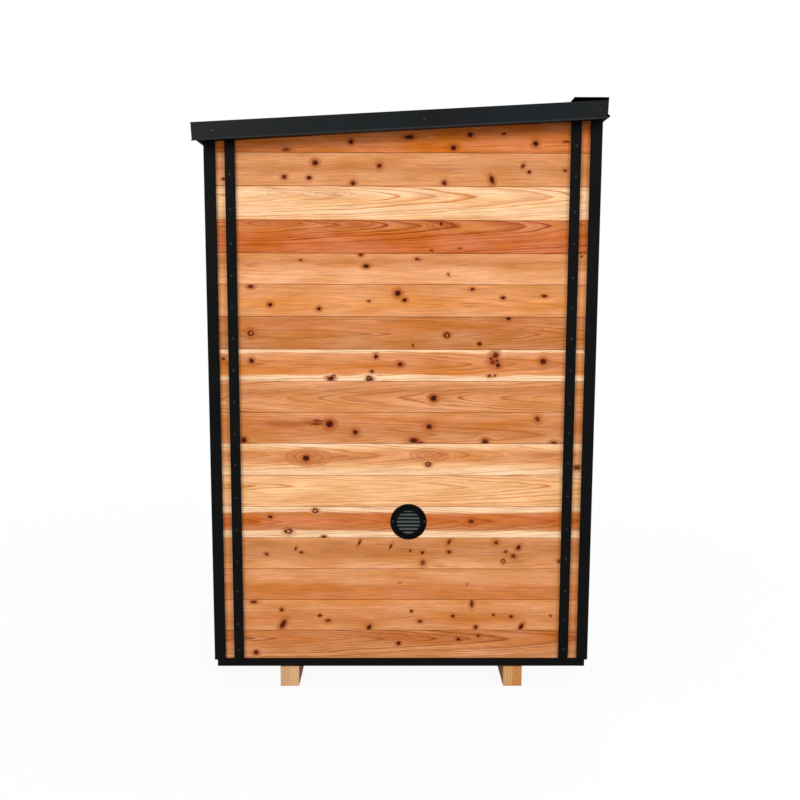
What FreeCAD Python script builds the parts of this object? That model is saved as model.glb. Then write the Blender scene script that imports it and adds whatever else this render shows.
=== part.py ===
# An outdoor sauna cabin: horizontal cedar planks between black trims, on two timber skids,
# under a low single-slope roof. The wall with the round vent faces -Y, the door faces +X.
# Lengths are in millimetres. Heights are above the ground that the skids rest on.

import FreeCAD, Part
import math
import os

Vector = FreeCAD.Vector

# walls
side_wall_length = 1492.0      # outer faces of the front and rear walls, along X
front_wall_length = 1798.0     # outer faces of the two side walls, along Y
wall_thickness = 38.0
plank_cover = 127.0            # height of one plank as it shows
courses_below_vent = 4         # whole planks under the one that carries the vent

# skids and floor
skid_ply_width = 38.0
skid_height = 89.0
skid_spacing = 917.0           # centre to centre
floor_thickness = 30.0

# black trims
trim_thickness = 16.0
corner_trim_width = 43.0
strap_width = 38.0
strap_gap = 37.0               # bare plank between corner trim and strap
trim_ease = 1.5                # small bevel along the outer edges
band_thickness = 6.0
band_height = 31.0

# roof
roof_slope = 3.2               # degrees, rising towards the front
wall_over_door = 220.5         # plank wall from the door head to the roof, at its outer face
roof_deck_thickness = 38.0
flashing_thickness = 1.5
sheet_thickness = 1.0
rib_height = 15.0
rib_pitch = 228.6
rib_foot = 44.0
rib_crown = 22.0
rib_count = 9
rake_overhang = 60.0           # face of the rake trim in front of the corner trims
rake_face = 60.0               # upright part of the rake trim
rake_flange = 62.0
kick_reach = 8.0               # how far the foot of the rake trim turns out
rake_low_reach = 34.0          # rake trim past the rear corner trims
sheet_low_reach = 31.0
eave_gap = 4.5                 # low eave trim in front of the rear corner trims
eave_face = 44.0
eave_flange = 60.0
cap_gap = 7.0                  # cap flashing in front of the front corner trims
cap_top = 130.0                # level top of the cap flashing, along X
cap_rise = 10.0                # cap above the rake trim at its front edge
cap_back_run = 15.0            # how far the back edge of the cap slants
cap_face = 60.0
cap_lean = 2.5                 # the face leans back by this much
cap_kick = 9.5
cap_clearance = 0.3            # roof end behind the cap's face

# door
door_glass_width = 680.0
door_glass_height = 1860.0
door_glass_thickness = 8.0
door_side_gap = 5.0
door_foot_gap = 6.0            # the same gap is left over the glass
jamb_thickness = 32.0
stop_depth = 12.0
stop_clearance = 0.3
sill_height = 28.0
sill_nose = 8.0                # sill past the face of the jambs
hinge_height = 70.0
hinge_inset = 240.0            # hinge middle from the glass end
hinge_leaf_width = 34.0
hinge_leaf_thickness = 3.0
hinge_barrel_radius = 6.0
handle_length = 360.0
handle_radius = 14.0
handle_standoff = 30.0
handle_post_radius = 6.0
handle_post_spacing = 240.0
handle_inset = 55.0            # handle centre from the free edge of the glass
handle_middle = 1050.0         # above the ground

# vent
vent_x = 27.0                  # vent centre from the middle of the side wall
vent_lift = 3.5                # vent centre above the middle of its plank
vent_bore = 48.0               # inner radius of the sleeve
sleeve_wall = 2.0
sleeve_clearance = 1.0
sleeve_flange_radius = 62.0
sleeve_flange = 2.5
grille_radius = 73.0
grille_rim = 6.0               # how far the rim stands out from the planks
grille_clearance = 0.5         # louvres inside the sleeve
louvre_count = 7
louvre_pitch = 14.8
louvre_thickness = 2.0
louvre_depth = 8.5
louvre_angle = 40.0            # degrees from level, falling outwards

# worked out from the sizes above
slope = math.tan(math.radians(roof_slope))
half_x = side_wall_length / 2
half_y = front_wall_length / 2
trim_x = half_x + trim_thickness
trim_y = half_y + trim_thickness
floor_top = skid_height + floor_thickness
sill_top = floor_top + sill_height
glass_foot = sill_top + door_foot_gap
glass_head = glass_foot + door_glass_height
opening_top = glass_head + door_foot_gap
head_top = opening_top + jamb_thickness
roof_seat = head_top + wall_over_door - slope * half_x    # underside of the deck at mid wall
band_foot = skid_height
band_top = band_foot + band_height
rake_y = trim_y + rake_overhang
sheet_seat = roof_deck_thickness + flashing_thickness / math.cos(math.radians(roof_slope))
rib_top = sheet_seat + sheet_thickness + rib_height
rake_top = rib_top + flashing_thickness
eave_x = trim_x + eave_gap
cap_x = trim_x + cap_gap
roof_end = cap_x - cap_lean - flashing_thickness - cap_clearance
low_end = trim_x + rake_low_reach
front_end = trim_x + handle_standoff + 2 * handle_radius
shift_x = (low_end - front_end) / 2    # brings the whole object's middle onto the origin


def roof_height(x, above_seat=0.0):
    """Height of the roof at x from the wall's middle."""
    return roof_seat + above_seat + slope * x


def save(name, shape):
    """Writes one piece, moved so that the whole object stands about the origin."""
    placed = shape.copy()
    placed.translate(Vector(shift_x, 0, 0))
    placed.exportStep("parts/" + name + ".step")


def box(x0, x1, y0, y1, z0, z1):
    return Part.makeBox(x1 - x0, y1 - y0, z1 - z0, Vector(x0, y0, z0))


def face_from(points):
    loop = [Vector(*point) for point in points]
    return Part.Face(Part.makePolygon(loop + [loop[0]]))


def mirror_y(shape):
    return shape.mirror(Vector(0, 0, 0), Vector(0, 1, 0))


def below_roof(shape):
    """Cuts off what stands above the underside of the roof deck."""
    reach = low_end + front_end
    wedge = face_from([
        (-reach, -2 * rake_y, roof_height(-reach)),
        (reach, -2 * rake_y, roof_height(reach)),
        (reach, -2 * rake_y, 2 * roof_seat),
        (-reach, -2 * rake_y, 2 * roof_seat),
    ]).extrude(Vector(0, 4 * rake_y, 0))
    return shape.cut(wedge)


def along_slope(profile, x0, x1):
    """A section drawn across the roof, run from x0 to x1 up the slope, with plumb ends.

    The section's heights are above the underside of the roof deck.
    """
    points = [(x0, y, roof_height(x0, z)) for y, z in profile]
    run = x1 - x0
    return face_from(points).extrude(Vector(run, 0, slope * run))


def along_eave(profile, half_width):
    """A section drawn in X and Z, run along the eave from side to side."""
    points = [(x, -half_width, z) for x, z in profile]
    return face_from(points).extrude(Vector(0, 2 * half_width, 0))


def bent_strip(line, thickness, side):
    """The outline of sheet metal bent along a line, thickened to one side of it."""
    inner = []
    count = len(line)
    for index in range(count):
        normals = []
        for start, end in ((index - 1, index), (index, index + 1)):
            if start < 0 or end >= count:
                continue
            run = (line[end][0] - line[start][0], line[end][1] - line[start][1])
            length = math.hypot(*run)
            normals.append((-run[1] / length * side, run[0] / length * side))
        across = (sum(n[0] for n in normals), sum(n[1] for n in normals))
        scale = thickness / (across[0] * normals[0][0] + across[1] * normals[0][1])
        inner.append((line[index][0] + across[0] * scale, line[index][1] + across[1] * scale))
    return line + inner[::-1]


def make_skids():
    for skid, side in (("rear", -1), ("front", 1)):
        middle = side * skid_spacing / 2
        for ply, step in (("outer", side), ("inner", -side)):
            edges = sorted((middle, middle + step * skid_ply_width))
            timber = box(edges[0], edges[1], -half_y, half_y, 0, skid_height)
            save(skid + "_skid_" + ply + "_ply", timber)


def make_floor():
    save("floor_deck", box(-half_x, half_x, -half_y, half_y, skid_height, floor_top))


def make_side_walls():
    inner_y = half_y - wall_thickness
    vent_foot = floor_top + courses_below_vent * plank_cover
    vent_head = vent_foot + plank_cover
    tall = roof_height(half_x) + plank_cover
    save("plain_side_wall", below_roof(box(-half_x, half_x, inner_y, half_y, floor_top, tall)))
    save("vent_side_wall_lower", box(-half_x, half_x, -half_y, -inner_y, floor_top, vent_foot))
    save("vent_side_wall_upper", below_roof(box(-half_x, half_x, -half_y, -inner_y, vent_head, tall)))
    plank = box(-half_x, half_x, -half_y, -inner_y, vent_foot, vent_head)
    middle = Vector(vent_x, -half_y - wall_thickness, (vent_foot + vent_head) / 2 + vent_lift)
    hole_radius = vent_bore + sleeve_wall + sleeve_clearance
    hole = Part.makeCylinder(hole_radius, 3 * wall_thickness, middle, Vector(0, 1, 0))
    save("vent_plank", plank.cut(hole))
    return middle.z


def make_end_walls():
    inner_x = half_x - wall_thickness
    inner_y = half_y - wall_thickness
    tall = roof_height(half_x) + plank_cover
    doorway = door_glass_width / 2 + door_side_gap + jamb_thickness
    save("rear_wall", below_roof(box(-half_x, -inner_x, -inner_y, inner_y, floor_top, tall)))
    beside = below_roof(box(inner_x, half_x, doorway, inner_y, floor_top, tall))
    save("front_wall_plain_side", beside)
    save("front_wall_vent_side", mirror_y(beside))
    save("front_wall_over_door", below_roof(box(inner_x, half_x, -doorway, doorway, head_top, tall)))


def make_corner_trims():
    tall = roof_height(trim_x) + plank_cover
    ease = trim_ease
    inner_x = trim_x - corner_trim_width
    inner_y = trim_y - corner_trim_width
    for end, side in (("rear", -1), ("front", 1)):
        outline = face_from([
            (side * inner_x, half_y, band_top),
            (side * half_x, half_y, band_top),
            (side * half_x, inner_y, band_top),
            (side * (trim_x - ease), inner_y, band_top),
            (side * trim_x, inner_y + ease, band_top),
            (side * trim_x, trim_y - ease, band_top),
            (side * (trim_x - ease), trim_y, band_top),
            (side * (inner_x + ease), trim_y, band_top),
            (side * inner_x, trim_y - ease, band_top),
        ])
        trim = below_roof(outline.extrude(Vector(0, 0, tall - band_top)))
        save(end + "_corner_trim_plain_side", trim)
        save(end + "_corner_trim_vent_side", mirror_y(trim))


def strap_outline(along, out, width, depth):
    """Eased section of a strap: along the wall from `along`, standing out from `out`."""
    ease = trim_ease
    return [
        (along, out),
        (along + width, out),
        (along + width, out + depth - ease),
        (along + width - ease, out + depth),
        (along + ease, out + depth),
        (along, out + depth - ease),
    ]


def make_straps():
    tall = roof_height(trim_x) + plank_cover
    inset = corner_trim_width + strap_gap + strap_width
    for end, side in (("rear", -1), ("front", 1)):
        start = trim_x - inset
        section = strap_outline(start, half_y, strap_width, trim_thickness)
        outline = face_from([(side * along, out, band_top) for along, out in section])
        strap = below_roof(outline.extrude(Vector(0, 0, tall - band_top)))
        save("plain_side_strap_" + end, strap)
        save("vent_side_strap_" + end, mirror_y(strap))

        start = trim_y - inset
        section = strap_outline(start, half_x, strap_width, trim_thickness)
        outline = face_from([(side * out, along, band_top) for along, out in section])
        strap = below_roof(outline.extrude(Vector(0, 0, tall - band_top)))
        save(end + "_wall_strap_plain_side", strap)
        save(end + "_wall_strap_vent_side", mirror_y(strap))


def make_base_bands():
    reach = half_x + band_thickness
    side_band = box(-reach, reach, half_y, half_y + band_thickness, band_foot, band_top)
    save("plain_side_base_band", side_band)
    save("vent_side_base_band", mirror_y(side_band))
    save("front_base_band", box(half_x, reach, -half_y, half_y, band_foot, band_top))
    save("rear_base_band", box(-reach, -half_x, -half_y, half_y, band_foot, band_top))


def make_roof_deck():
    half_width = rake_y - flashing_thickness
    section = [(-half_width, 0), (half_width, 0), (half_width, roof_deck_thickness),
               (-half_width, roof_deck_thickness)]
    save("roof_deck", along_slope(section, -eave_x + flashing_thickness, roof_end))


def make_roof_sheet():
    """Sheet metal with tapered ribs running down the slope."""
    half_width = rake_y - flashing_thickness
    upper = [(-half_width, sheet_seat + sheet_thickness)]
    for index in range(rib_count):
        middle = (index - (rib_count - 1) / 2) * rib_pitch
        upper.append((middle - rib_foot / 2, sheet_seat + sheet_thickness))
        upper.append((middle - rib_crown / 2, rib_top))
        upper.append((middle + rib_crown / 2, rib_top))
        upper.append((middle + rib_foot / 2, sheet_seat + sheet_thickness))
    upper.append((half_width, sheet_seat + sheet_thickness))
    lower = [(y, z - sheet_thickness) for y, z in upper]
    section = upper + lower[::-1]
    save("roof_sheet", along_slope(section, -trim_x - sheet_low_reach, roof_end))


def square_low_end(trim):
    """Cuts the plumb low end square to the slope, from its upper corner down."""
    top = roof_height(-low_end, rake_top)
    drop = 2 * rake_face
    wedge = face_from([
        (-low_end, -2 * rake_y, top),
        (-low_end + slope * drop, -2 * rake_y, top - drop),
        (-low_end - kick_reach, -2 * rake_y, top - drop),
    ]).extrude(Vector(0, 4 * rake_y, 0))
    return trim.cut(wedge)


def make_rake_trims():
    """Edge trim over the outermost rib: flange on top, upright face, foot turned out."""
    line = [
        (-rake_y + rake_flange, rake_top),
        (-rake_y, rake_top),
        (-rake_y, rake_top - rake_face),
        (-rake_y - kick_reach, rake_top - rake_face - kick_reach),
    ]
    section = bent_strip(line, flashing_thickness, 1)
    trim = square_low_end(along_slope(section, -low_end, roof_end))
    save("vent_side_rake_trim", trim)
    save("plain_side_rake_trim", mirror_y(trim))


def make_low_eave_trim():
    """Flange between deck and sheet, face over the deck's low edge, foot turned out."""
    half_width = rake_y - flashing_thickness
    edge = -eave_x
    line = [
        (edge + eave_flange, roof_height(edge + eave_flange, sheet_seat)),
        (edge, roof_height(edge, sheet_seat)),
        (edge, roof_height(edge, sheet_seat) - eave_face),
        (edge - kick_reach, roof_height(edge, sheet_seat) - eave_face - kick_reach),
    ]
    section = bent_strip(line, flashing_thickness, 1)
    save("low_eave_trim", along_eave(section, half_width))


def make_cap_flashing():
    """Level cap over the high edge, its back foot on the rake trims, its face turned out below."""
    top = roof_height(cap_x, rake_top) + cap_rise
    back = cap_x - cap_top
    foot = back - cap_back_run
    across = flashing_thickness * 1.2
    section = [
        (foot, roof_height(foot, rake_top)),
        (back, top),
        (cap_x, top),
        (cap_x - cap_lean, top - cap_face),
        (cap_x - cap_lean + cap_kick, top - cap_face - cap_kick),
    ]
    inner = bent_strip(section, flashing_thickness, -1)[len(section):]
    inner[-1] = (foot + across, roof_height(foot + across, rake_top))
    save("high_cap_flashing", along_eave(section + inner, rake_y))


def make_door():
    inner_x = half_x - wall_thickness
    half_glass = door_glass_width / 2
    half_opening = half_glass + door_side_gap
    half_doorway = half_opening + jamb_thickness
    glass_back = trim_x - door_glass_thickness
    stop_face = glass_back - stop_clearance
    half_stop = half_opening - stop_depth

    sill = face_from([
        (inner_x, -half_doorway, floor_top),
        (half_x, -half_doorway, floor_top),
        (half_x, -half_doorway, band_top),
        (trim_x + sill_nose, -half_doorway, band_top),
        (trim_x + sill_nose, -half_doorway, sill_top - sill_nose),
        (trim_x, -half_doorway, sill_top),
        (inner_x, -half_doorway, sill_top),
    ])
    save("door_sill", sill.extrude(Vector(0, 2 * half_doorway, 0)))

    jamb = face_from([
        (inner_x, half_stop, sill_top),
        (stop_face, half_stop, sill_top),
        (stop_face, half_opening, sill_top),
        (trim_x, half_opening, sill_top),
        (trim_x, half_doorway, sill_top),
        (inner_x, half_doorway, sill_top),
    ]).extrude(Vector(0, 0, opening_top - sill_top))
    save("door_jamb_hinge_side", jamb)
    save("door_jamb_latch_side", mirror_y(jamb))

    head = box(inner_x, trim_x, -half_doorway, half_doorway, opening_top, head_top)
    stop = box(inner_x, stop_face, -half_stop, half_stop, opening_top - stop_depth, opening_top)
    save("door_head", head.fuse(stop).removeSplitter())

    glass = box(glass_back, trim_x, -half_glass, half_glass, glass_foot, glass_head)
    save("door_glass", glass)

    joint_y = half_glass + door_side_gap / 2
    for name, middle in (("lower_hinge", glass_foot + hinge_inset), ("upper_hinge", glass_head - hinge_inset)):
        low = middle - hinge_height / 2
        leaf_end = trim_x + hinge_leaf_thickness
        leaves = box(trim_x, leaf_end, joint_y - hinge_leaf_width, joint_y + hinge_leaf_width,
                     low, low + hinge_height)
        upright = [edge for edge in leaves.Edges
                   if edge.BoundBox.XLength > hinge_leaf_thickness / 2]
        leaves = leaves.makeFillet(hinge_leaf_thickness * 2, upright)
        centre = Vector(trim_x + hinge_barrel_radius, joint_y, low)
        barrel = Part.makeCylinder(hinge_barrel_radius, hinge_height, centre, Vector(0, 0, 1))
        save(name, leaves.fuse(barrel))

    outer = make_handle(trim_x, 1)
    inner = make_handle(glass_back, -1)
    save("door_handle", Part.makeCompound([outer, inner]))


def make_handle(glass_face, side):
    """A turned wooden grip on two posts, standing off one face of the glass."""
    grip_y = -door_glass_width / 2 + handle_inset
    grip_x = glass_face + side * (handle_standoff + handle_radius)
    low = handle_middle - handle_length / 2
    high = handle_middle + handle_length / 2
    round_off = handle_radius * 0.6
    centre = Vector(grip_x, grip_y, 0)

    def at(radius, height):
        return centre + Vector(0, radius, height)

    turn = math.sqrt(0.5)
    edges = [
        Part.makeLine(at(0, low), at(handle_radius - round_off, low)),
        Part.Arc(at(handle_radius - round_off, low),
                 at(handle_radius - round_off * (1 - turn), low + round_off * (1 - turn)),
                 at(handle_radius, low + round_off)).toShape(),
        Part.makeLine(at(handle_radius, low + round_off), at(handle_radius, high - round_off)),
        Part.Arc(at(handle_radius, high - round_off),
                 at(handle_radius - round_off * (1 - turn), high - round_off * (1 - turn)),
                 at(handle_radius - round_off, high)).toShape(),
        Part.makeLine(at(handle_radius - round_off, high), at(0, high)),
        Part.makeLine(at(0, high), at(0, low)),
    ]
    grip = Part.Face(Part.Wire(edges)).revolve(centre, Vector(0, 0, 1), 360)
    handle = Part.Solid(grip.Shells[0]) if grip.ShapeType != "Solid" else grip
    for step in (-1, 1):
        post_z = handle_middle + step * handle_post_spacing / 2
        start = Vector(glass_face, grip_y, post_z)
        post = Part.makeCylinder(handle_post_radius, handle_standoff + handle_radius, start, Vector(side, 0, 0))
        handle = handle.fuse(post)
    return handle


def revolve_about_vent(points, middle_z):
    """Turns an outline of (radius, y) points about the vent's axis."""
    outline = face_from([(vent_x + radius, y, middle_z) for radius, y in points])
    return outline.revolve(Vector(vent_x, 0, middle_z), Vector(0, 1, 0), 360)


def make_vent(middle_z):
    inner_face = -half_y + wall_thickness
    bore = vent_bore
    sleeve = revolve_about_vent([
        (bore, -half_y),
        (bore + sleeve_wall, -half_y),
        (bore + sleeve_wall, inner_face),
        (sleeve_flange_radius, inner_face),
        (sleeve_flange_radius, inner_face + sleeve_flange),
        (bore, inner_face + sleeve_flange),
    ], middle_z)
    save("vent_sleeve", sleeve)

    louvre_radius = bore - grille_clearance
    front = -half_y - grille_rim
    ring = revolve_about_vent([
        (louvre_radius - grille_clearance, -half_y),
        (grille_radius, -half_y),
        (grille_radius, front + grille_rim * 0.65),
        (grille_radius - grille_rim * 0.5, front + grille_rim * 0.35),
        (bore + grille_rim, front + grille_rim * 0.35),
        (bore + grille_rim * 0.5, front),
        (louvre_radius - grille_clearance, front),
    ], middle_z)
    blade_run = math.cos(math.radians(louvre_angle)) * louvre_depth
    blade_drop = math.sin(math.radians(louvre_angle)) * louvre_depth
    well = Part.makeCylinder(louvre_radius, grille_rim + louvre_depth,
                             Vector(vent_x, front, middle_z), Vector(0, 1, 0))
    grille = ring
    for index in range(louvre_count):
        row = middle_z + (index - (louvre_count - 1) / 2) * louvre_pitch
        nose = front + grille_rim * 0.2
        blade = face_from([
            (vent_x - bore, nose, row - blade_drop / 2),
            (vent_x - bore, nose, row - blade_drop / 2 + louvre_thickness),
            (vent_x - bore, nose + blade_run, row + blade_drop / 2 + louvre_thickness),
            (vent_x - bore, nose + blade_run, row + blade_drop / 2),
        ]).extrude(Vector(2 * bore, 0, 0))
        grille = grille.fuse(blade.common(well))
    save("vent_grille", grille)


os.makedirs("parts", exist_ok=True)
make_skids()
make_floor()
vent_height = make_side_walls()
make_end_walls()
make_corner_trims()
make_straps()
make_base_bands()
make_roof_deck()
make_roof_sheet()
make_rake_trims()
make_low_eave_trim()
make_cap_flashing()
make_door()
make_vent(vent_height)
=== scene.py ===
import math
import random

import bpy
from mathutils import Matrix, Vector


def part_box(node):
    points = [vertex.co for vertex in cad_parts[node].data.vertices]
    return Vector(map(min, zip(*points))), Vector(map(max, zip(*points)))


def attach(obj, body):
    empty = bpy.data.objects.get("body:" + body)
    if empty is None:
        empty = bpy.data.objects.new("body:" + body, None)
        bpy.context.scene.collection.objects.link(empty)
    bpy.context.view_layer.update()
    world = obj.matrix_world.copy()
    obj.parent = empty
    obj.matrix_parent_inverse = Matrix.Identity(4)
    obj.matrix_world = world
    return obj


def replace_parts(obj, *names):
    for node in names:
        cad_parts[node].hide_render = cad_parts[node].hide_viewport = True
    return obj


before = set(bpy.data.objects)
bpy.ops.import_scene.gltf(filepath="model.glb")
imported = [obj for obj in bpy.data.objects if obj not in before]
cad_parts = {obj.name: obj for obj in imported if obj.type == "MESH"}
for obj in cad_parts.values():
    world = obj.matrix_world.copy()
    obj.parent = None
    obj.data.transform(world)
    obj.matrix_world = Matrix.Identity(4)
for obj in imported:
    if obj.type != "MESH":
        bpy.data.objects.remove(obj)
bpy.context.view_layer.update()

bpy.ops.object.select_all(action="DESELECT")


def linearColour(hexTone):
    channels = []
    for start in (0, 2, 4):
        value = int(hexTone[start:start + 2], 16) / 255
        channels.append(value / 12.92 if value <= 0.04045 else ((value + 0.055) / 1.055) ** 2.4)
    return (*channels, 1.0)


def grey(value):
    return (value, value, value, 1.0)


# One node with its settings. The operation of a Math node stands after its kind. The inputs are named, or
# come in the order of the sockets in use, and a node among them stands for its first output in use.
def addNode(tree, kind, inputs=(), **settings):
    kind, *operations = kind.split()
    node = tree.nodes.new("ShaderNode" + kind)
    for operation in operations:
        node.operation = operation
    for name, value in settings.items():
        setattr(node, name, value)
    if isinstance(inputs, dict):
        fed = [(node.inputs[name], value) for name, value in inputs.items()]
    else:
        fed = zip([socket for socket in node.inputs if socket.enabled], inputs)
    for socket, value in fed:
        if isinstance(value, bpy.types.Node):
            value = next(output for output in value.outputs if output.enabled)
        if isinstance(value, bpy.types.NodeSocket):
            tree.links.new(value, socket)
        else:
            socket.default_value = value
    return node


def newMaterial(name):
    material = bpy.data.materials.new(name)
    material.use_nodes = True
    material.node_tree.nodes.clear()
    return material, material.node_tree


# the shader that every solid finish ends in, with an optional height for its bump
def finishSurface(tree, inputs, height=None, bumpDepth=0.0002, bumpStrength=0.5):
    if height is not None:
        bump = addNode(tree, "Bump", {"Height": height, "Distance": bumpDepth, "Strength": bumpStrength})
        inputs = {**inputs, "Normal": bump}
    addNode(tree, "OutputMaterial", [addNode(tree, "BsdfPrincipled", inputs)])


def fillRamp(node, stops):
    ramp = node.color_ramp
    while len(ramp.elements) > 1:
        ramp.elements.remove(ramp.elements[-1])
    for index, (place, colour) in enumerate(stops):
        element = ramp.elements[0] if index == 0 else ramp.elements.new(place)
        element.position = place
        element.color = colour


# tones of clear oiled western red cedar, from sapwood to heartwood; the dark umber tone serves only as
# painted shade under the rake trim
cedarTone = {
    "cream": "fcd2a6",
    "honey": "f4bd88",
    "peach": "eaa877",
    "tan": "dd9763",
    "orange": "e2965a",
    "amber": "d0814a",
    "rose": "cf7441",
    "copper": "dc7d3e",
    "russet": "c26a38",
    "brown": "c98350",
    "rakeShadeUmber": "9c5122",
    "knot": "2e0a00",
    "knotRim": "7a2a06",
    "halo": "a5521f",
}

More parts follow.
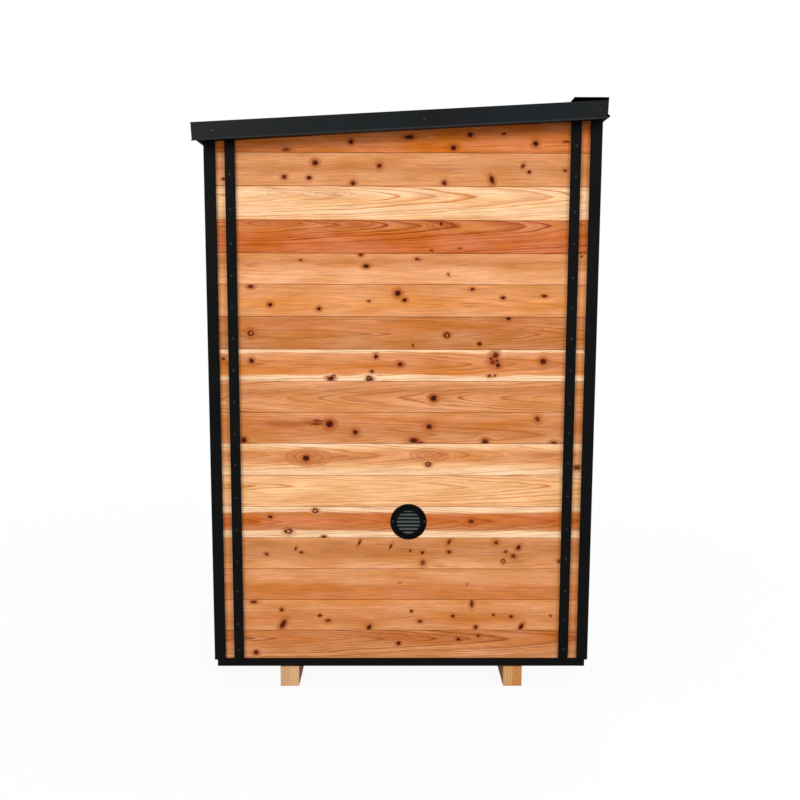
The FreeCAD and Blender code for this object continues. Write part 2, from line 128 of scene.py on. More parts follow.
# Each board of the wall with the vent, from the top one down. Tones stand at their heights in mm, and the
# first and last go on to the edges. Rings are the growth rings: width in mm, how much they show, height of
# the arches' middle line above the lower edge, how fast they close along the board, where they start. A
# knot is: mm along from the wall's middle, mm up, radius, stretch along the grain, turn, darkness. An eye
# is a ring, a patch a soft stain, a lens a closed arch of rings; one much stretched is a thin streak.
ventBoards = [
    # the top board darkens to umber along its upper edge: painted shade from the rake trim, over its own
    # darker red-brown wood
    {"tones": [(45, "copper"), (88, "russet"), (110, "rakeShadeUmber")],
     "grain": "8a4218", "rings": (10, 0.45, 150, 0.02, 40),
     "knots": [(-460, 4, 8, 2.2, 0, 0.6), (-212, 34, 10, 1.0, 0, 1), (-150, 33, 7, 9, 2, 0.35),
               (12, 52, 9, 2.2, 0, 1), (60, 54, 5, 8, 0, 0.4), (182, 13, 11, 1.1, 0, 1),
               (182, 13, 6, 7, 0, 0.4), (245, 62, 10, 1.2, 0, 1), (374, 66, 6, 1.4, 0, 0.8),
               (497, 30, 11, 1.0, 20, 1), (560, 34, 4, 16, 3, 0.45), (615, 37, 5, 3.0, 0, 0.7)]},
    {"tones": [(30, "tan"), (60, "brown"), (90, "tan")],
     "grain": "b4703c", "rings": (8, 0.28, 20, 0.012, 14),
     "knots": [(-349, 82, 11, 1.2, 0, 1), (-469, 28, 10, 1.1, 0, 0.8), (-373, 25, 8, 1.2, 0, 1),
               (-103, 71, 10, 1.0, 20, 0.9), (-204, 5, 10, 1.1, 0, 0.9), (148, 8, 11, 0.9, 0, 0.8),
               (331, 20, 16, 0.55, 20, 1), (450, 72, 10, 0.7, -25, 0.85), (473, 50, 6, 1.2, 0, 1),
               (612, 56, 5, 1.4, 0, 0.9), (-704, 19, 5, 1.6, 0, 0.8)]},
    {"tones": [(0, "honey"), (20, "cream"), (70, "honey"), (100, "cream"), (127, "honey")],
     "grain": "cc7a3a", "rings": (10, 0.75, 84, 0.055, 62),
     "knots": [(-370, 93, 26, 6.5, 0, 0.3, "lens"), (95, 84, 14, 5.0, 0, 0.3, "lens")]},
    {"tones": [(60, "rose"), (90, "amber"), (127, "rose")],
     "grain": "8f3413", "rings": (9, 0.85, 100, 0.055, 58),
     "knots": [(137, 108, 7, 1.0, 0, 1), (120, 108, 3, 9, 0, 0.5), (145, 100, 22, 3.0, 0, 0.5, "lens"),
               (-510, 108, 17, 10, 0, 0.5, "lens"), (-200, 106, 20, 6.5, 0, 0.5, "lens"),
               (210, 12, 5, 2.0, 0, 0.5), (100, 4, 5, 1.5, 20, 0.5)]},
    {"tones": [(45, "peach"), (62, "tan"), (88, "brown"), (110, "tan")],
     "grain": "c1703a", "rings": (9, 0.4, 76, 0.04, -30),
     "knots": [(-174, 114, 7, 1.6, 0, 0.7), (-154, 71, 8, 1.6, 0, 1), (45, 98, 6, 2.0, 0, 0.7),
               (167, 39, 7, 0.9, 20, 0.5), (-409, 93, 5, 1.8, 0, 0.6), (685, 111, 4, 1.2, 0, 0.9)]},
    {"tones": [(0, "tan"), (60, "orange"), (100, "tan")],
     "grain": "b96a30", "rings": (9, 0.35, 45, 0.03, 50),
     "knots": [(-604, 117, 8, 1.6, 0, 0.9), (-530, 47, 8, 1.2, 0, 1), (-339, 32, 8, 1.1, 0, 1),
               (-144, 62, 5, 1.4, 0, 0.8), (-30, 93, 13, 1.0, 30, 1), (-4, 67, 8, 1.3, 0, 0.9),
               (261, 109, 6, 1.5, 0, 1), (261, 109, 4, 14, 0, 0.45), (381, 76, 7, 1.3, 0, 1),
               (543, 84, 6, 2.0, 0, 0.9), (520, 84, 3, 14, 0, 0.4), (254, 53, 3, 18, 1, 0.55),
               (247, 39, 3, 14, 0, 0.5)]},
    {"tones": [(50, "brown"), (90, "amber"), (127, "brown")],
     "grain": "96501f", "rings": (8, 0.6, 60, 0.05, 22),
     "knots": [(-607, 63, 11, 1.1, 0, 1, "eye"), (163, 56, 11, 1.1, 0, 1, "eye"), (291, 23, 7, 1.2, 0, 1),
               (30, 17, 6, 0.7, 0, 1), (404, 123, 8, 1.2, 0, 1), (70, 38, 4, 10, 0, 0.5),
               (-440, 95, 17, 6.5, 0, 0.35, "lens"), (330, 80, 26, 8, 0, 0.25, "lens")]},
    {"tones": [(20, "cream"), (28, "orange"), (60, "amber"), (110, "tan"), (117, "cream")],
     "grain": "a9521d", "rings": (9, 0.5, 70, 0.04, 44),
     "knots": [(-606, 81, 10, 1.0, 0, 1), (-540, 80, 4, 14, 0, 0.45), (-115, 99, 9, 0.9, 0, 1),
               (-21, 68, 9, 1.3, 0, 0.9), (-132, 40, 6, 1.2, 0, 0.8), (-294, 12, 9, 1.6, 0, 0.9),
               (-281, 22, 7, 1.1, 0, 0.8, "eye"), (-144, 12, 10, 1.1, 0, 1, "eye"),
               (-137, 10, 8, 1.5, 0, 0.9), (356, 105, 12, 1.2, 30, 0.8), (352, 86, 36, 1.0, 0, 0.9, "patch"),
               (345, 78, 12, 1.0, 0, 0.6), (338, 92, 6, 1.3, 20, 0.8), (362, 84, 5, 1.6, -30, 0.8),
               (366, 66, 10, 1.0, 0, 1), (544, 81, 13, 1.1, 0, 0.9), (333, 23, 6, 1.4, 0, 0.8),
               (353, 25, 5, 1.4, 30, 0.7), (-716, 88, 7, 1.0, 0, 0.9)]},
    {"tones": [(60, "tan"), (90, "brown"), (127, "peach")],
     "grain": "a85a2a", "rings": (8, 0.7, 62, -0.055, 60),
     "knots": [(112, 61, 13, 1.1, 0, 1), (150, 60, 4, 9, 0, 0.4), (-260, 92, 11, 4.5, 0, 0.4, "lens"),
               (-30, 95, 9, 4.0, 0, 0.4, "lens"), (-520, 66, 12, 5.0, 0, 0.3, "lens")]},
    {"tones": [(0, "tan"), (50, "brown"), (90, "amber"), (127, "tan")],
     "grain": "9a4b1b", "rings": (9, 0.45, 40, 0.035, 50),
     "knots": [(-300, 84, 15, 1.1, 0, 1), (-345, 97, 5, 5.5, -3, 0.6), (-352, 84, 6, 5.5, 1, 0.55),
               (-300, 84, 26, 1.2, 0, 0.9, "lens"), (96, 74, 20, 1.2, 0, 0.8, "lens"),
               (-375, 90, 14, 4.5, 0, 1, "patch"), (-470, 88, 18, 7, 0, 0.85, "patch"),
               (-300, 84, 30, 1.1, 0, 0.8, "patch"), (-198, 51, 11, 1.1, 0, 1),
               (-642, 19, 12, 1.0, 0, 1), (35, 18, 12, 1.6, 0, 0.9), (96, 74, 11, 1.0, 0, 1),
               (96, 74, 30, 1.3, 0, 0.5, "patch"), (62, 4, 9, 1.5, 0, 1), (319, 13, 13, 1.1, 0, 0.8),
               (527, 105, 12, 0.9, 20, 0.7), (593, 9, 9, 1.6, 0, 0.7)]},
    {"tones": [(22, "cream"), (45, "honey"), (60, "tan"), (98, "tan"), (112, "honey"), (127, "cream")],
     "grain": "b9662f", "rings": (8, 0.6, 86, 0.05, 66),
     "knots": [(-395, 72, 13, 1.1, 0, 1), (-385, 76, 37, 2.5, 0, 0.75, "lens"),
               (-235, 76, 14, 8, 0, 0.55, "patch"), (93, 49, 9, 1.2, 0, 1, "eye"), (93, 49, 5, 6, 0, 0.5),
               (97, 85, 30, 2.6, 0, 0.65, "lens"), (560, 86, 14, 9, 0, 0.5, "patch"),
               (690, 36, 11, 1.4, 0, 0.8)]},
    {"tones": [(0, "honey")],
     "grain": "c97636", "rings": (10, 0.7, 84, 0.035, 40), "knots": []},
    {"tones": [(26, "cream"), (34, "brown"), (70, "rose"), (103, "amber"), (110, "cream")],
     "grain": "9c441c", "rings": (8, 0.55, 66, 0.05, 44),
     "knots": [(-360, 111, 9, 1.2, 0, 0.9, "eye"), (-541, 87, 7, 1.3, 0, 1),
               (-469, 28, 10, 1.5, 0, 0.9, "eye"), (-469, 28, 4, 9, 0, 0.5), (-327, 3, 7, 1.4, 0, 1),
               (268, 68, 10, 1.4, 0, 0.7), (-61, 66, 5, 8, 0, 0.5)]},
    {"tones": [(0, "peach"), (25, "tan"), (55, "brown"), (100, "brown"), (127, "tan")],
     "grain": "a9683a", "rings": (9, 0.3, 30, 0.03, 40),
     "knots": [(-183, 108, 15, 0.35, -25, 0.75), (-56, 92, 12, 0.4, -25, 0.75), (-440, 83, 9, 0.4, -25, 0.8),
               (-559, 60, 6, 1.4, -20, 0.8), (-418, 67, 5, 1.8, 0, 0.8), (179, 110, 14, 0.5, -30, 0.7),
               (370, 108, 9, 1.2, 0, 0.7), (461, 87, 11, 0.8, -30, 0.9), (410, 69, 6, 1.2, 0, 0.8),
               (442, 52, 8, 1.3, -20, 0.8), (179, 69, 7, 1.3, 0, 0.9), (72, 67, 6, 1.2, 0, 0.9),
               (23, 74, 5, 1.2, 0, 0.8), (400, 30, 8, 1.0, 0, 0.9, "eye"), (74, 24, 13, 0.9, 0, 0.6),
               (140, 8, 5, 7, 2, 0.45), (626, 31, 7, 1.0, 0, 0.7)]},
    {"tones": [(50, "amber"), (70, "tan")],
     "grain": "b5672f", "rings": (11, 0.3, -30, 0.012, 40),
     "knots": [(-18, 66, 3, 1.6, 0, 0.5), (255, 60, 4, 1.2, 0, 0.4)]},
    {"tones": [(0, "tan"), (40, "amber"), (80, "tan"), (127, "orange")],
     "grain": "b06428", "rings": (10, 0.3, 30, 0.03, -40),
     "knots": [(-613, 113, 7, 2.2, 0, 0.8), (-501, 80, 8, 1.0, -30, 0.9), (-495, 19, 22, 0.5, -30, 0.9),
               (-345, 55, 6, 1.2, 0, 1), (-312, 34, 7, 1.5, 10, 0.8), (-144, 6, 12, 0.8, -30, 1),
               (29, 74, 6, 1.0, -30, 1), (275, 106, 18, 0.45, 0, 0.75), (64, 31, 7, 1.4, 0, 0.9),
               (198, 53, 7, 1.1, 0, 1), (364, 58, 5, 1.2, 0, 0.9), (436, 51, 6, 1.5, 0, 0.8),
               (292, 6, 9, 0.9, -20, 0.9), (478, 8, 16, 0.5, -30, 1), (598, 55, 4, 1.4, 0, 0.9)]},
    {"tones": [(45, "tan"), (75, "amber")],
     "grain": "8f4718", "rings": (9, 0.75, 85, 0.05, 48),
     "knots": [(-607, 26, 8, 1.2, 0, 1), (-24, 65, 8, 1.1, 0, 1), (221, 82, 7, 1.3, 0, 1),
               (303, 97, 6, 1.1, 0, 1), (230, 95, 20, 7, 0, 0.4, "lens"),
               (-80, 98, 20, 8, 0, 0.35, "lens")]},
]


# the greatest of several values, or None where there are none
def greatest(tree, values):
    top = None
    for value in values:
        top = value if top is None else addNode(tree, "Math MAXIMUM", [top, value])
    return top


cedarSettings = {
    "wander": (2.5, 20, 1),           # slow wander of the grain, 400 mm long and 50 mm high
    "wanderReach": (0.03, 0.022, 0),
    "fibre": (7, 170, 1),             # fibres, drawn 6 mm high and 140 mm long so that they show
    "patch": (4, 17, 1),              # softer patches, 60 mm high
    "arch": 1.6,                      # 2 gives round arches of rings, less gives pointed ones
    "lateWood": ((0, 0.15), (0.06, 0.0), (0.66, 0.05), (0.86, 0.8), (0.94, 1.0), (1.0, 0.15)),
    "ragged": 0.009,                  # how far the edges of knots stray
    "marks": {                        # where each starts and is full, in knot radii, and how dark it is
        "core": (1.3, 0.4, 1.0), "eye": (0.42, 0.1, 0.9), "halo": (2.7, 0.9, 0.85),
        "tails": (1.1, 0.2, 0.8), "streak": (1.2, 0.0, 1.7), "patch": (1.3, 0.3, 1.0),
        "lens": (1.12, 0.8, 0.5), "lensRings": (1.1, 0.95, 1.5),
    },
    "eyeRing": 0.8,                   # radius of an eye's ring, in knot radii
    "lensRings": 5.0,
    "push": (3.6, 0.3, 0.8),          # how far out a knot turns the grain aside, and how much
    "roughness": 0.5,
    "shine": 0.08,
    "bump": 0.0003,
}
soft = {"interpolation_type": "SMOOTHSTEP"}       # for edges that fade


# Western red cedar, planed and clear oiled: warm bands from cream sapwood to russet heartwood, thin dark
# growth rings that arch along the board and part round small dark knots, fine fibres, a low silky gloss.
def cedarMaterial(name, board, cover, seed):
    material, tree = newMaterial(name)
    grainMap = addNode(tree, "UVMap", uv_map="grain")
    ringWidth, ringShow, archHeight, closing, ringStart = board["rings"]

    wander = addNode(tree, "Mapping", {"Vector": grainMap, "Location": (seed * 3.7, seed * 1.3, 0),
                                       "Scale": cedarSettings["wander"]})
    wander = addNode(tree, "TexNoise", [wander, 1.0, 3, 0.55], noise_dimensions="2D")
    wander = addNode(tree, "VectorMath SUBTRACT", [wander.outputs["Color"], (0.5, 0.5, 0.5)])
    wander = addNode(tree, "VectorMath MULTIPLY", [wander, cedarSettings["wanderReach"]])
    place = addNode(tree, "VectorMath ADD", [grainMap, wander])

    # each knot has a dark core, a warmer halo with ragged edges and thin tails, and turns the grain aside
    ragged = cedarSettings["ragged"]
    rough = addNode(tree, "TexNoise", [grainMap, 110, 2], noise_dimensions="2D")
    rough = addNode(tree, "VectorMath MULTIPLY_ADD", [rough.outputs["Color"], (ragged, ragged, 0), grainMap])
    knotPlace = addNode(tree, "VectorMath SUBTRACT", [rough, (ragged / 2, ragged / 2, 0)])
    layers = {"dark": [], "halo": [], "line": []}
    aside = place
    for knot in board["knots"]:
        along, up, radius, stretch, turn, depth = knot[:6]
        long = stretch >= 6
        kind = knot[6] if len(knot) > 6 else "streak" if long else "core"
        local = addNode(tree, "Mapping", {
            "Vector": place if long else knotPlace, "Location": (along / 1000, up / 1000, 0),
            "Rotation": (0, 0, math.radians(turn)),
            "Scale": (radius * stretch / 1000, radius / 1000, 1)}, vector_type="TEXTURE")
        reach = addNode(tree, "VectorMath LENGTH", [local])
        if kind in ("streak", "patch", "lens"):
            marks = [("halo", kind, reach)]
        else:
            marks = [("dark", kind, reach), ("halo", "halo", reach)]
        if kind == "eye":
            offRing = addNode(tree, "Math SUBTRACT", [reach, cedarSettings["eyeRing"]])
            marks[0] = ("dark", kind, addNode(tree, "Math ABSOLUTE", [offRing]))
        if kind in ("core", "eye") and depth >= 0.8 and stretch < 2 and radius > 8:
            tails = addNode(tree, "VectorMath MULTIPLY", [local, (1.2, 0.42, 0)])
            marks.append(("halo", "tails", addNode(tree, "VectorMath LENGTH", [tails])))
        if kind == "lens":
            marks.append(("line", "lensRings", reach))
        for layer, mark, distance in marks:
            outer, inner, fill = cedarSettings["marks"][mark]
            layers[layer].append(addNode(tree, "MapRange", [distance, outer, inner, 0, depth * fill], **soft))
        if kind == "lens":
            ripple = addNode(tree, "Math MULTIPLY", [reach, cedarSettings["lensRings"]])
            ripple = addNode(tree, "Math PINGPONG", [ripple, 1.0])
            ripple = addNode(tree, "Math POWER", [ripple, 5.0])
            arches = addNode(tree, "Math MULTIPLY", [ripple, layers["line"].pop()], use_clamp=True)
            layers["line"].append(arches)
        if kind in ("core", "eye") and stretch < 3 and radius < 20:
            outer, inner, share = cedarSettings["push"]
            flow = addNode(tree, "MapRange", [reach, outer, inner, 0, -radius * share / 1000],
                           interpolation_type="SMOOTHERSTEP")
            push = addNode(tree, "VectorMath SCALE", [local, flow])
            aside = addNode(tree, "VectorMath ADD", [aside, push])
    dark, halo, lensLine = [greatest(tree, layers[layer]) for layer in ("dark", "halo", "line")]

    # growth rings: distance from a pith line that leaves the board slowly, arching nearly to a point
    pith = addNode(tree, "Mapping", {
        "Vector": aside, "Location": (ringStart / 1000, -archHeight / 1000, 0), "Scale": (closing, 1, 0)})
    fromPith = addNode(tree, "VectorMath ABSOLUTE", [pith])
    fromPith = addNode(tree, "SeparateXYZ", [fromPith])
    powers = [addNode(tree, "Math POWER", [fromPith.outputs[side], cedarSettings["arch"]])
              for side in ("X", "Y")]
    ringCount = addNode(tree, "Math ADD", powers)
    ringCount = addNode(tree, "Math POWER", [ringCount, 1 / cedarSettings["arch"]])
    ringCount = addNode(tree, "Math MULTIPLY", [ringCount, 1000 / ringWidth])
    uneven = addNode(tree, "TexNoise", [ringCount, 0.6, 1], noise_dimensions="1D")
    ringCount = addNode(tree, "Math MULTIPLY_ADD", [uneven, 2.2, ringCount])
    inRing = addNode(tree, "Math FRACT", [ringCount])
    ringIndex = addNode(tree, "Math FLOOR", [ringCount])
    ringShade = addNode(tree, "TexWhiteNoise", [ringIndex], noise_dimensions="1D")
    lateWood = addNode(tree, "ValToRGB", [inRing])
    fillRamp(lateWood, [(part, grey(shade)) for part, shade in cedarSettings["lateWood"]])
    ringPart = addNode(tree, "MapRange", [ringShade, 0, 1, ringShow * 0.35, ringShow * 1.5])
    ringLine = addNode(tree, "Math MULTIPLY", [lateWood, ringPart])

    # three finer lines to each ring
    inFine = addNode(tree, "Math MULTIPLY", [ringCount, 3.0])
    inFine = addNode(tree, "Math PINGPONG", [inFine, 1.0])
    fineLine = addNode(tree, "MapRange", [inFine, 0.55, 1.0, 0, ringShow * 0.28])
    ringLine = addNode(tree, "Math ADD", [ringLine, fineLine], use_clamp=True)

    # tones across the board, their borders wandering with the grain
    height = addNode(tree, "SeparateXYZ", [aside])
    share = addNode(tree, "Math MULTIPLY", [height.outputs["Y"], 1 / cover])
    bands = addNode(tree, "ValToRGB", [share])
    fillRamp(bands, [(up / 1000 / cover, linearColour(cedarTone[tone])) for up, tone in board["tones"]])
    colour = addNode(tree, "Mix", [ringLine, bands, linearColour(board["grain"])], data_type="RGBA")

    fibre = addNode(tree, "Mapping", {"Vector": aside, "Location": (seed * 5.1, seed * 2.3, 0),
                                      "Scale": cedarSettings["fibre"]})
    fibre = addNode(tree, "TexNoise", [fibre, 1.0, 4, 0.75], noise_dimensions="2D")
    patch = addNode(tree, "Mapping", {"Vector": aside, "Location": (seed * 7.9, seed * 4.1, 0),
                                      "Scale": cedarSettings["patch"]})
    patch = addNode(tree, "TexNoise", [patch, 1.0, 2], noise_dimensions="2D")
    fibreLight = addNode(tree, "MapRange", [fibre, 0.25, 0.75, 0.75, 1.2])
    patchLight = addNode(tree, "MapRange", [patch, 0.3, 0.7, 0.92, 1.07])
    light = addNode(tree, "Math MULTIPLY", [fibreLight, patchLight])
    warm = addNode(tree, "MapRange", [patch, 0.3, 0.7, 1.06, 0.96])
    colour = addNode(tree, "HueSaturation", {"Color": colour, "Value": light, "Saturation": warm})

    # the knots and stains go over the rings
    stains = []
    if halo:
        broken = addNode(tree, "MapRange", [fibre, 0.3, 0.7, 0.55, 1.1])
        stains.append((addNode(tree, "Math MULTIPLY", [halo, broken], use_clamp=True),
                       cedarTone["halo"]))
    if lensLine:
        stains.append((lensLine, board["grain"]))
    if dark:
        broken = addNode(tree, "Math MULTIPLY_ADD", [fibre, 0.5, -0.25])
        broken = addNode(tree, "Math MULTIPLY", [broken, dark])
        dark = addNode(tree, "Math ADD", [dark, broken], use_clamp=True)
        stains.append((addNode(tree, "MapRange", [dark, 0.02, 0.5, 0, 0.85]), cedarTone["knotRim"]))
        stains.append((addNode(tree, "MapRange", [dark, 0.45, 0.95, 0, 0.95]), cedarTone["knot"]))
    for share, tone in stains:
        colour = addNode(tree, "Mix", [share, colour, linearColour(tone)], data_type="RGBA")
    finishSurface(tree, {"Base Color": colour, "Roughness": cedarSettings["roughness"],
                         "Specular IOR Level": cedarSettings["shine"]}, fibre, cedarSettings["bump"], 0.4)
    return material


# timber and turned wood as a solid: rings about a pith line, so that ends show arcs and long faces stripes
def timberMaterial(name, timber):
    material, tree = newMaterial(name)
    axis = timber["along"]
    place = addNode(tree, "TexCoord").outputs["Object"]
    flow, squeeze, threads = [8.0] * 3, [1.0] * 3, [260.0] * 3
    flow[axis], squeeze[axis], threads[axis] = 1.2, 0.02, 7.0
    wander = addNode(tree, "Mapping", {"Vector": place, "Scale": flow})
    wander = addNode(tree, "TexNoise", [wander, 1.0, 2])
    bent = addNode(tree, "VectorMath MULTIPLY_ADD", [wander.outputs["Color"], (timber["wander"],) * 3, place])
    toPith = addNode(tree, "Mapping", {
        "Vector": bent, "Scale": squeeze,
        "Location": [-side * share for side, share in zip(timber["pith"], squeeze)]})
    reach = addNode(tree, "VectorMath LENGTH", [toPith])
    rings = addNode(tree, "Math MULTIPLY", [reach, 1000 / timber["ringWidth"]])
    inRing = addNode(tree, "Math FRACT", [rings])
    lateWood = addNode(tree, "ValToRGB", [inRing])
    fillRamp(lateWood, [(part, grey(shade)) for part, shade in (
        (0, 0.3), (0.12, 0.0), (0.5, 0.12), (0.9, 1.0), (1.0, 0.3))])
    line = addNode(tree, "Math MULTIPLY", [lateWood, timber["show"]])
    colour = addNode(tree, "Mix", [line, linearColour(timber["early"]), linearColour(timber["late"])],
                     data_type="RGBA")
    fibre = addNode(tree, "Mapping", {"Vector": place, "Scale": threads})
    fibre = addNode(tree, "TexNoise", [fibre, 1.0, 3, 0.6])
    light = addNode(tree, "MapRange", [fibre, 0.25, 0.75, 1 - timber["fibre"], 1 + timber["fibre"]])
    colour = addNode(tree, "HueSaturation", {"Color": colour, "Value": light})
    # the long faces, found by their normals, are darkened by a multiplied brown tone: painted shade
    if "longFaceShade" in timber:
        facing = addNode(tree, "SeparateXYZ", [addNode(tree, "TexCoord").outputs["Normal"]])
        endPart = addNode(tree, "Math ABSOLUTE", [facing.outputs["XYZ"[axis]]])
        shadePart = addNode(tree, "MapRange", [endPart, 0.3, 0.7, 0.75, 0])
        colour = addNode(tree, "Mix", [shadePart, colour, linearColour(timber["longFaceShade"])],
                         data_type="RGBA", blend_type="MULTIPLY")
    finishSurface(tree, {"Base Color": colour, "Roughness": timber["roughness"],
                         "Specular IOR Level": 0.2}, fibre, timber["bump"], 0.6)
    return material


# A thin coat on metal or plastic: two close tones in broad patches, a gloss that varies a little, and a
# fine texture. The grain of the texture is in mm, drawn about twice as coarse as it is so that it shows.
def coatMaterial(name, coat):
    material, tree = newMaterial(name)
    place = addNode(tree, "TexCoord").outputs["Object"]
    patch = addNode(tree, "TexNoise", [place, 1000 / coat["patch"], 3])
    share = addNode(tree, "MapRange", [patch, 0.35, 0.65])
    colour = addNode(tree, "Mix", [share, linearColour(coat["tone"]), linearColour(coat["worn"])],
                     data_type="RGBA")
    gloss = addNode(tree, "MapRange", [patch, 0.3, 0.7, coat["roughness"] - 0.05, coat["roughness"] + 0.07])
    texture = addNode(tree, "TexNoise", [place, 1000 / coat["grain"], 2])
    finishSurface(tree, {"Base Color": colour, "Roughness": gloss, "Specular IOR Level": coat["shine"]},
                  texture, coat["bump"])
    return material


# Moulded black ABS with a light spark texture. The lips of the blades inside the ring carry a paler painted
# highlight, broken up by specks.
def ventMaterial(name, vent, middle):
    material, tree = newMaterial(name)
    place = addNode(tree, "TexCoord").outputs["Object"]
    local = addNode(tree, "Mapping", {
        "Vector": place, "Location": (-middle.x, 0, -middle.z), "Scale": (1, 0, 1)})
    reach = addNode(tree, "VectorMath LENGTH", [local])
    inside = addNode(tree, "MapRange", [reach, vent["bladeReach"], vent["bladeReach"] - 0.001])
    speck = addNode(tree, "TexNoise", [place, 350, 3])
    highlightSpeckle = addNode(tree, "MapRange", [speck, 0.3, 0.7, 0.7, 1.0])
    height = addNode(tree, "SeparateXYZ", [local])
    # a pale band along each blade's lip, one pitch apart: a painted highlight where the lips catch the light
    fromBlade = addNode(tree, "Math PINGPONG", [height.outputs["Z"], vent["pitch"] / 2])
    litLip = addNode(tree, "MapRange", [fromBlade, vent["pitch"] * 0.34, vent["pitch"] * 0.21])
    share = addNode(tree, "Math MULTIPLY", [inside, highlightSpeckle])
    share = addNode(tree, "Math MULTIPLY", [share, litLip])
    colour = addNode(tree, "Mix", [share, linearColour(vent["ring"]), linearColour(vent["lipHighlight"])],
                     data_type="RGBA")
    finishSurface(tree, {"Base Color": colour, "Roughness": vent["roughness"],
                         "Specular IOR Level": vent["shine"]}, speck, 0.0001)
    return material


# Black coated glass fibre insect mesh: matt, nearly closed from a step away, its threads drawn 3 mm apart.
# Near black and nearly closed, it also stands in for the shade deep in the duct behind the louvres.
def wovenMaterial(name):
    material, tree = newMaterial(name)
    place = addNode(tree, "TexCoord").outputs["Object"]
    threads = [addNode(tree, "TexWave", [place, 105, 0], wave_type="BANDS",
                       bands_direction=side).outputs["Fac"] for side in ("X", "Z")]
    weave = greatest(tree, threads)
    colour = addNode(tree, "Mix", [weave, linearColour("020202"), linearColour("0d0d0e")], data_type="RGBA")
    finishSurface(tree, {"Base Color": colour, "Roughness": 0.8, "Specular IOR Level": 0.1}, weave)
    return material


# Spun aluminium: bare metal with fine turning lines round the duct, drawn 2 mm apart.
def spunMaterial(name, middle):
    material, tree = newMaterial(name)
    place = addNode(tree, "TexCoord").outputs["Object"]
    local = addNode(tree, "Mapping", {"Vector": place, "Location": (-middle.x, 0, -middle.z)})
    lines = addNode(tree, "TexWave", [local, 160, 0.4, 1], wave_type="RINGS",
                    rings_direction="Y").outputs["Fac"]
    gloss = addNode(tree, "MapRange", [lines, 0, 1, 0.32, 0.42])
    finishSurface(tree, {"Base Color": linearColour("c4c6c8"), "Metallic": 1.0, "Roughness": gloss},
                  lines, 0.0001, 0.4)
    return material


# Grey tinted toughened glass: clear and flat, a faint film that is thicker in places.
def glassMaterial(name):
    material, tree = newMaterial(name)
    film = addNode(tree, "TexNoise", [addNode(tree, "TexCoord").outputs["Object"], 6, 4])
    gloss = addNode(tree, "MapRange", [film, 0.4, 0.8, 0.0, 0.06])
    finishSurface(tree, {"Base Color": linearColour("b4b8b9"), "Roughness": gloss, "IOR": 1.52,
                         "Transmission Weight": 1.0})
    return material


def boxOf(node):
    low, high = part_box(node)
    return Vector(low), Vector(high)


def ready(piece):
    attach(piece, "root")
    return piece


def named(piece, name):
    piece.name = name
    piece.data.name = name
    return piece


# names the primitive just added and moves its place into its mesh
def placed(name):
    bpy.ops.object.transform_apply(location=True, rotation=True, scale=True)
    return named(bpy.context.active_object, name)


def startBlock(name, low, high):
    bpy.ops.mesh.primitive_cube_add(size=1, location=(low + high) / 2, scale=high - low)
    return placed(name)


# a round block along Y, or along Z with a turn of 0
def startRound(name, radius, depth, middle, sides=64, turn=math.pi / 2):
    bpy.ops.mesh.primitive_cylinder_add(vertices=sides, radius=radius, depth=depth, location=middle,
                                        rotation=(turn, 0, 0))
    return placed(name)


def copyPiece(piece, name, shift=(0, 0, 0)):
    copy = piece.copy()
    copy.data = piece.data.copy()
    copy.data.transform(Matrix.Translation(shift))
    bpy.context.collection.objects.link(copy)
    return named(copy, name)


def setMode(mode):
    bpy.ops.object.mode_set(mode=mode)


def onlySelect(piece):
    bpy.ops.object.select_all(action="DESELECT")
    piece.select_set(True)
    bpy.context.view_layer.objects.active = piece


def join(pieces, name):
    onlySelect(pieces[0])
    for piece in pieces:
        piece.select_set(True)
    bpy.ops.object.join()
    return named(bpy.context.view_layer.objects.active, name)


def selectEdges(piece, wanted):
    setMode("EDIT")
    bpy.ops.mesh.select_mode(type="EDGE")
    bpy.ops.mesh.select_all(action="DESELECT")
    setMode("OBJECT")
    points = piece.data.vertices
    for edge in piece.data.edges:
        edge.select = wanted(points[edge.vertices[0]].co, points[edge.vertices[1]].co)
    setMode("EDIT")


# cuts off what lies on the side that the normal points to
def cutAway(piece, place, normal):
    onlySelect(piece)
    setMode("EDIT")
    bpy.ops.mesh.select_all(action="SELECT")
    bpy.ops.mesh.bisect(plane_co=place, plane_no=normal, use_fill=True, clear_outer=True)
    setMode("OBJECT")


# tips a piece that was made level, with its foot on z = 0, to the slope of the roof
def tiltWithRoof(piece, foot):
    tilt = Matrix.Identity(4)
    tilt[2][0] = roofSlope
    tilt[2][3] = foot.z - roofSlope * foot.x
    piece.data.transform(tilt)


# heights taken from the frame: the roof's underside and the courses of boards
frontHigh = boxOf("front_wall_over_door")[1]
rearHigh = boxOf("rear_wall")[1]
wallLow, wallHigh = boxOf("vent_side_wall_lower")
ventLow, ventHigh = boxOf("vent_plank")
roofSlope = (frontHigh.z - rearHigh.z) / (frontHigh.x - rearHigh.x)
roofPlace = Vector((frontHigh.x, 0, frontHigh.z))
roofNormal = Vector((-roofSlope, 0, 1)).normalized()
cover = ventHigh.z - ventLow.z
wallFoot = wallLow.z
courseCount = math.ceil((frontHigh.z - wallFoot) / cover)

boardSettings = {
    "ease": 0.0018,          # the rounding of each long edge
    "gap": 0.0014,           # boards stand this far apart on the face
    "tongue": 0.01,          # thickness of the tongue that closes each joint
}

print("boards of the wall with the vent")
materials = [cedarMaterial("red cedar board %d" % (index + 1), board, cover, index + 1)
             for index, board in enumerate(ventBoards)]


# a board along X or Y, its long edges eased so that two boards meet in a thin groove
def startBoard(name, low, high, axis):
    board = startBlock(name, low, high)
    selectEdges(board, lambda a, b: abs(a[axis] - b[axis]) > 0.06)
    bpy.ops.mesh.bevel(offset=boardSettings["ease"], segments=2, affect="EDGES")
    setMode("OBJECT")
    return board


